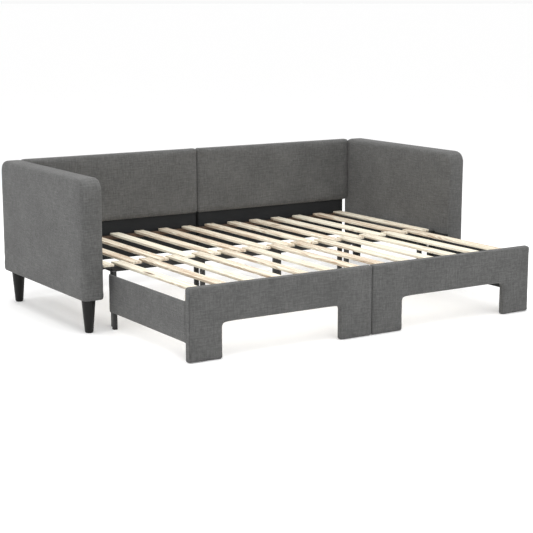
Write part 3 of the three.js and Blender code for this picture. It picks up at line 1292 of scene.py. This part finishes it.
@dataclass
class Arms:
    """The two padded arms, their linings and their legs."""

    filling: Filling = Filling(swell=0.004, voxel=0.009)
    fill: float = 0.85
    seed: int = 2
    edge: float = 0.018
    top_corner: float = 0.054
    bottom_corner: float = 0.03
    hold_height: float = -0.002
    tuck: float = 0.7
    frame_top: float = 0.036
    frame_bottom: float = 0.014
    inward: float = 0.8
    lined_below: float = 0.2835
    lining: float = 0.0007
    lining_inset: float = 0.009
    lining_corner: float = 0.012
    leg_gap: float = 0.0006
    hole_steps: int = 40
    hole_depth: float = 0.02
    staple_pitch: float = 0.045
    staple_inset: float = 1.6
    staple_margin: float = 0.02
    legs: TaperedLegs = field(default_factory=TaperedLegs)

    def build(self, fixings: Fixings) -> None:
        """Builds both arms.

        Args:
            fixings: Makes the staples of the linings.
        """
        upholster(
            self.cover(), "arm_cover", self.seed, self.inward, self.lined_below
        )
        spots = [spot for side in Side for spot in self.line_bottom(side)]
        fixings.place("arm_lining_staples", fixings.staple(), ZINC, spots, SLIGHT_TURN)
        for side in Side:
            paint(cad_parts[f"arm_frame_{side.label}"], PLYWOOD)
            for end in ("front", "rear"):
                self.legs.build(f"tapered_leg_{end}_{side.label}")

    def cover(self) -> Piece:
        """The left arm's padded cover, open underneath round the timber frame.

        Returns:
            The cover.
        """
        low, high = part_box("arm_cover_left")
        inset = self.filling.swell / 4
        tucked = low.z - self.tuck * self.edge
        outline = Outline.rectangle(
            (low.y, tucked), (high.y, high.z), self.bottom_corner, self.top_corner
        )
        slab = Slab(outline, (low.x + inset, high.x - inset), Axis.X, self.edge)
        piece = slab.build("arm_padding_left")
        self.filling.inflate(piece, lambda at: at[:, 2] < low.z + self.hold_height)
        inner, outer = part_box("arm_frame_left")
        shape = Outline.rectangle(
            (inner.y - FIT, tucked), (outer.y + FIT, outer.z + FIT), self.frame_bottom,
            self.frame_top,
        )
        cavity = Slab(shape, (inner.x - FIT, outer.x + FIT), Axis.X, FIT, 1).build("cavity")
        below = low - Vector((MARGIN,) * 3)
        above = Vector((high.x + MARGIN, high.y + MARGIN, low.z))
        cut(piece, cavity, box("waste", below, above))
        return piece

    def line_bottom(self, side: Side) -> list[Spot]:
        """The dust cover under an arm, cut out round its legs.

        Args:
            side: Which arm.

        Returns:
            The spots of its staples.
        """
        low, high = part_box(f"arm_cover_{side.label}")
        inset, top = self.lining_inset, low.z - FIT / 2
        a, b = (low.x + inset, low.y + 2 * inset), (high.x - inset, high.y - 2 * inset)
        outline = Outline.rectangle(a, b, self.lining_corner, self.lining_corner)
        slab = Slab(outline, (top - self.lining, top), Axis.Z, self.lining / 3, 1)
        piece = slab.build(f"arm_dust_cover_{side.label}")
        for end in ("front", "rear"):
            leg_low, leg_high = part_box(f"tapered_leg_{end}_{side.label}")
            radius = (leg_high.x - leg_low.x) / 2 + self.leg_gap
            middle = (leg_low + leg_high) / 2
            form = bmesh.new()
            hole = bmesh.ops.create_cone(
                form, cap_ends=True, segments=self.hole_steps, radius1=radius, radius2=radius,
                depth=self.hole_depth,
            )
            bmesh.ops.translate(form, verts=hole["verts"], vec=(middle.x, middle.y, top))
            cut(piece, from_bmesh("hole", form))
        map_weave(piece.data)
        paint(piece, FLEECE)
        hand_over(piece, FLEECE.slot)
        height, inset = top - self.lining, self.staple_inset * inset
        return [
            Spot(Vector((x, y, height)), DOWN, BACK) for x in (low.x + inset, high.x - inset)
            for y in evenly(a[1], b[1], self.staple_pitch, self.staple_margin)
        ]


@dataclass
class BackRest:
    """The back rest in two padded halves over lined boards."""

    filling: Filling = Filling(swell=0.005, voxel=0.008)
    fill: float = 0.8
    seed: int = 6
    edge: float = 0.012
    seam_bottom: float = 0.013
    seam_top: float = 0.014
    outer_top: float = 0.013
    outer_bottom: float = 0.026
    hold_height: float = 0.012
    lined_edge: float = 0.0012
    staple_pitch: float = 0.05
    staple_margin: float = 0.03
    staple_height: float = 0.012
    plate_edge: float = 0.0006
    bolt_inset: float = 0.018

    def build(self, fixings: Fixings) -> None:
        """Builds both halves.

        Args:
            fixings: Makes the bolts of the joining plate and the staples of the linings.
        """
        spots = []
        upholster(self.cover(), "back_cover", self.seed)
        for side in Side:
            ease(f"back_board_{side.label}", FLEECE, self.lined_edge)
            spots += self.staples(side)
        fixings.place("back_lining_staples", fixings.staple(), ZINC, spots, SLIGHT_TURN)
        ease("back_joining_plate", POWDER_COAT, self.plate_edge)
        low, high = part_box("back_joining_plate")
        inset = self.bolt_inset
        bolts = [
            Spot(Vector((x, high.y, z)), BACK)
            for x in (low.x + inset, high.x - inset) for z in (low.z + inset, high.z - inset)
        ]
        fixings.place("joining_plate_bolts", fixings.bolt(), ZINC, bolts, ANY_TURN)

    def cover(self) -> Piece:
        """The left half's padded cover, open underneath round its board.

        Returns:
            The cover.
        """
        low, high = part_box("back_cover_left")
        inset = self.filling.swell
        outline = Outline.of(
            (low.x, low.z, self.outer_bottom), (high.x, low.z, self.seam_bottom),
            (high.x, high.z, self.seam_top), (low.x, high.z, self.outer_top),
        )
        slab = Slab(outline, (low.y + inset, high.y - inset), Axis.Y, self.edge)
        piece = slab.build("back_padding_left")
        ends = self.filling.voxel / 2

        def held(at: np.ndarray) -> np.ndarray:
            """Points at the bottom and on both ends."""
            x, z = at[:, 0], at[:, 2]
            return (z < low.z + self.hold_height) | (x < low.x + ends) | (x > high.x - ends)

        self.filling.inflate(piece, held)
        board_low, board_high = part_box("back_board_left")
        room = Vector((FIT, FIT, FIT))
        cut(piece, box("cavity", board_low - room, board_high + room))
        return piece

    def staples(self, side: Side) -> list[Spot]:
        """Spots of the staples along the bottom of a board's rear face.

        Args:
            side: Which board.

        Returns:
            The spots.
        """
        low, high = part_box(f"back_board_{side.label}")
        places = evenly(low.x, high.x, self.staple_pitch, self.staple_margin)
        return [Spot(Vector((x, high.y, low.z + self.staple_height)), BACK) for x in places]


@dataclass
class Slats:
    """Sawn pine slats with eased edges, in the two combs."""

    edge: float = 0.0022
    end: float = 0.001
    crease: float = 35.0
    tree: SlatRow = field(default_factory=SlatRow)

    @staticmethod
    def numbered(prefix: str) -> list[str]:
        """The nodes that are the prefix and a number, in order."""
        nodes = [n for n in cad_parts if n.startswith(prefix)]
        return sorted(n for n in nodes if n[len(prefix):].isdigit())

    def row(self, name: str, prefix: str, series: float) -> None:
        """Builds one comb in a single piece.

        Args:
            name: The piece's name.
            prefix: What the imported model's slats are called before their number.
            series: Number of the first slat, which its grain starts from.
        """
        nodes = self.numbered(prefix)
        low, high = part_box(nodes[0])
        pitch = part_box(nodes[1])[0].x - low.x
        half = (high.x - low.x) / 2
        outline = Outline.rectangle((-half, low.z), (half, high.z), self.edge, self.edge)
        slab = Slab(Outline(outline.corners, 4), (low.y, high.y), Axis.Y, self.end, 2)
        piece = self.tree.run(
            name, bpy.data.meshes.new(name), slab.build("slat"), Count=len(nodes), Pitch=pitch,
            First=low.x + half, Series=series, Material=SLAT_PINE.material(),
        )
        map_weave(piece.data)
        shade(piece, self.crease)
        hand_over(piece, SLAT_PINE.slot, *nodes)

    def screw_spots(self, prefix: str, places: Iterable[float]) -> list[Spot]:
        """Spots of screws on every slat, at the given depths.

        Args:
            prefix: What the slats are called before their number.
            places: The depths, along Y.

        Returns:
            The spots.
        """
        boxes = [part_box(node) for node in self.numbered(prefix)]
        return [
            Spot(Vector(((low.x + high.x) / 2, y, high.z)), UP)
            for low, high in boxes for y in places
        ]


@dataclass
class BedBase:
    """The fixed frame that carries the bed slats."""

    tube_edge: float = 0.0024
    timber_edge: float = 0.0015
    tie_edge: float = 0.0008
    screw_inset: float = 0.008

    def build(self, slats: Slats, fixings: Fixings) -> None:
        """Builds rails, ties, ledge, slats and their fixings.

        Args:
            slats: Makes the comb of slats.
            fixings: Makes screws, bolts and caps.
        """
        caps, bolts = [], []
        for side in Side:
            caps += fixings.capped(f"front_rail_{side.label}", self.tube_edge)
            ease(f"side_rail_{side.label}", POWDER_COAT, self.tube_edge)
            tie = f"arm_tie_{side.label}"
            ease(tie, POWDER_COAT, self.tie_edge)
            low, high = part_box(tie)
            bolts.append(Spot(Vector(((low.x + high.x) / 2, (low.y + high.y) / 2, low.z)), DOWN))
        fixings.place("front_rail_caps", fixings.cap(), PLASTIC, caps)
        # The rear ledge carries painted shade: a very dark pine tone for the shade between the slat
        # ends.
        ease("rear_slat_ledge", SHADE_DARKENED_PINE, self.timber_edge)
        slats.row("bed_slats", "bed_slat_", 1.0)
        rail, ledge = (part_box(node) for node in ("front_rail_left", "rear_slat_ledge"))
        depths = [(rail[0].y + rail[1].y) / 2, (ledge[0].y + ledge[1].y) / 2 - self.screw_inset]
        spots = slats.screw_spots("bed_slat_", depths)
        fixings.place("bed_slat_screws", fixings.screw(), ZINC, spots, ANY_TURN)
        fixings.place("arm_tie_bolts", fixings.bolt(), ZINC, bolts, ANY_TURN)


@dataclass
class Extension:
    """The part that pulls out: padded front in two halves, padded sides, slats, batten and legs."""

    front_filling: Filling = Filling(swell=0.003, voxel=0.006)
    side_filling: Filling = Filling(swell=0.002, voxel=0.0048)
    fill: float = 0.9
    front_seed: int = 11
    side_seed: int = 16
    padded_edge: float = 0.0045
    padded_corner: float = 0.0055
    board_edge: float = 0.003
    board_corner: float = 0.004
    board_slab_edge: float = 0.0002
    padding: float = 0.006
    outer_foot: float = 0.168
    inner_foot: float = 0.175
    arch: float = 0.156
    arch_corner: float = 0.012
    top_corner: float = 0.011
    held_behind: float = 0.008
    inward: float = 0.9
    tube_edge: float = 0.002
    timber_edge: float = 0.0015
    plate_edge: float = 0.0006
    bolt_inset: float = 0.02
    bolt_heights: Span = (0.12, 0.225)

    def build(self, slats: Slats, fixings: Fixings) -> None:
        """Builds the extension.

        Args:
            slats: Makes the comb of slats.
            fixings: Makes screws, bolts and caps.
        """
        self.fronts()
        self.sides()
        self.framework(fixings)
        slats.row("trundle_slats", "trundle_slat_", 101.0)
        ledge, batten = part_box("trundle_slat_ledge"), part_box("trundle_rear_batten")
        slat_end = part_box("trundle_slat_01")[1].y
        depths = [(ledge[0].y + ledge[1].y) / 2, (batten[0].y + slat_end) / 2]
        spots = slats.screw_spots("trundle_slat_", depths)
        fixings.place("trundle_slat_screws", fixings.screw(), ZINC, spots, ANY_TURN)

    def outline(self, inset: float, foot: float, open_seam: bool = False) -> Outline:
        """The left front half with its arch, every side moved in.

        Args:
            inset: How far.
            foot: Radius at the bottom of the feet and at the seam.
            open_seam: Whether the side at the seam stays where it is.

        Returns:
            The outline, in X and Z.
        """
        low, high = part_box("trundle_front_cover_left")
        left, seam = low.x + inset, high.x - (0 if open_seam else inset)
        arch_from, arch_to = low.x + self.outer_foot - inset, -self.inner_foot + inset
        top, floor, arch = high.z - inset, low.z + inset, self.arch + inset
        return Outline.of(
            (left, floor, foot), (arch_from, floor, foot), (arch_from, arch, self.arch_corner),
            (arch_to, arch, self.arch_corner), (arch_to, floor, foot), (seam, floor, foot),
            (seam, top, foot), (left, top, max(self.top_corner - inset, foot)),
        )

    def fronts(self) -> None:
        """Both padded halves of the front and their boards."""
        low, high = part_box("trundle_front_cover_left")
        edge, behind = self.padded_edge, high.y + 2 * self.padded_edge
        shape = self.outline(0.0, self.padded_corner, open_seam=True)
        slab = Slab(shape, (low.y + self.front_filling.swell, behind), Axis.Y, edge)
        left = slab.build("trundle_front_padding_left")
        seam = high.x - self.front_filling.voxel / 2
        self.front_filling.inflate(left, lambda at: (at[:, 1] > high.y) | (at[:, 0] > seam))
        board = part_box("trundle_front_board_left")[0].y - FIT
        shape = self.outline(self.padding, self.board_corner)
        room = Slab(shape, (board, behind + 2 * MARGIN), Axis.Y, self.board_slab_edge, 1)
        margin = Vector((MARGIN,) * 3)
        start = Vector((low.x - MARGIN, high.y, low.z - MARGIN))
        waste = box("waste", start, high + 2 * margin)
        cut(left, waste, room.build("room"))
        upholster(left, "trundle_front_cover", self.front_seed)
        for side in Side:
            ease(f"trundle_front_board_{side.label}", LINED_BOARD, self.board_edge)

    def sides(self) -> None:
        """Both padded sides, lined inside."""
        low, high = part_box("trundle_side_panel_left")
        swell, edge = self.side_filling.swell, self.padded_edge
        corner = self.padded_corner
        outline = Outline.rectangle((low.y + swell / 2, low.z), (high.y, high.z), corner, corner)
        slab = Slab(outline, (low.x + swell, high.x - swell), Axis.X, edge)
        left = slab.build("trundle_side_padding_left")
        self.side_filling.inflate(left, lambda at: at[:, 1] < low.y + self.held_behind)
        upholster(left, "trundle_side_panel", self.side_seed, self.inward)

    def framework(self, fixings: Fixings) -> None:
        """Ledge, batten, plate and tube legs.

        Args:
            fixings: Makes the bolts and caps.
        """
        caps = []
        for side in Side:
            for kind in ("side", "rear"):
                caps += fixings.capped(f"trundle_{kind}_leg_{side.label}", self.tube_edge)
        fixings.place("trundle_leg_caps", fixings.cap(), PLASTIC, caps)
        for timber in ("trundle_slat_ledge", "trundle_rear_batten"):
            ease(timber, LEDGE_PINE, self.timber_edge)
        ease("trundle_seam_plate", POWDER_COAT, self.plate_edge)
        low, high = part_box("trundle_seam_plate")
        middle, inset = (low.z + high.z) / 2, self.bolt_inset
        bolts = [Spot(Vector((x, high.y, middle)), BACK) for x in (low.x + inset, high.x - inset)]
        for side in Side:
            low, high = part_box(f"trundle_side_leg_{side.label}")
            inner, y = (high.x if side is Side.LEFT else low.x), (low.y + high.y) / 2
            away = Vector((-side.value, 0, 0))
            bolts += [Spot(Vector((inner, y, z)), away, BACK) for z in self.bolt_heights]
        fixings.place("trundle_bolts", fixings.bolt(), ZINC, bolts, ANY_TURN)


# Studio


@dataclass
class Studio:
    """Floor, light and camera."""

    eye: tuple[float, float, float] = (-3.7494, -5.7646, 1.4914)
    yaw: float = 32.7
    pitch: float = 10.72
    lens: float = 94.05
    sensor: float = 36.0
    floor_size: float = 4000.0
    floor_drop: float = 0.0004
    floor_tone: Colour = (0.93, 0.93, 0.93, 1)
    floor_glow: float = 0.11
    sky: float = 0.95
    key: float = 170
    fill: float = 15

    def build(self) -> None:
        """Sets up camera, floor, sky and lamps."""
        bpy.context.scene.view_settings.view_transform = "Standard"
        self.camera()
        self.floor()
        self.world()
        self.lamp("overhead", (-0.5, -0.8, 4.2), (0, 0, 0.2), 5.0, self.key)
        self.lamp("left_fill", (-6.5, -0.6, 2.4), (0, 0, 0.35), 3.5, self.fill)

    def camera(self) -> None:
        """A long lens, a little above the arms, looking down and to the right."""
        data = bpy.data.cameras.new("camera")
        data.lens, data.sensor_width = self.lens, self.sensor
        data.clip_end = 2 * self.floor_size
        camera = bpy.data.objects.new("camera", data)
        camera.location = self.eye
        camera.rotation_euler = (math.radians(90 - self.pitch), 0, -math.radians(self.yaw))
        bpy.context.scene.collection.objects.link(camera)
        bpy.context.scene.camera = camera

    def floor(self) -> None:
        """A plain pale floor."""
        form = bmesh.new()
        bmesh.ops.create_grid(form, x_segments=1, y_segments=1, size=self.floor_size / 2)
        floor = from_bmesh("floor", form)
        floor.location.z = -self.floor_drop
        made = bpy.data.materials.new("floor")
        made.use_nodes = True
        Graph(made.node_tree).feed(made.node_tree.nodes["Principled BSDF"], {
            "Base Color": self.floor_tone,
            "Roughness": 0.9,
            "Specular IOR Level": 0.1,
            "Emission Color": WHITE,
            "Emission Strength": self.floor_glow,
        })
        floor.data.materials.append(made)

    def world(self) -> None:
        """Even light from all round."""
        world = bpy.data.worlds.new("studio")
        world.use_nodes = True
        tree = world.node_tree
        Graph(tree).feed(tree.nodes["Background"], {"Color": WHITE, "Strength": self.sky})
        bpy.context.scene.world = world

    @staticmethod
    def lamp(name: str, place: Sequence[float], target: Sequence[float], size: float,
             power: float) -> None:
        """A square soft light turned to a target.

        Args:
            name: Its name.
            place: Where it hangs.
            target: What it is turned to.
            size: Length of its sides.
            power: Its power, in watts.
        """
        data = bpy.data.lights.new(name, "AREA")
        data.size, data.energy = size, power
        lamp = bpy.data.objects.new(name, data)
        lamp.location = place
        way = Vector(target) - Vector(place)
        lamp.rotation_euler = way.to_track_quat("-Z", "Y").to_euler()
        bpy.context.scene.collection.objects.link(lamp)


def corners(bounds: tuple[Vector, Vector]) -> list[list[float]]:
    """A box as plain lists."""
    return [list(corner) for corner in bounds]


def main() -> None:
    """Builds every sub-assembly in order."""
    logging.basicConfig(level=logging.INFO, format="%(name)s: %(message)s")
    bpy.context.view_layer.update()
    Studio().build()
    fixings = Fixings()
    slats = Slats()
    Arms().build(fixings)
    BackRest().build(fixings)
    BedBase().build(slats, fixings)
    Extension().build(slats, fixings)


if __name__ == "__main__":
    main()
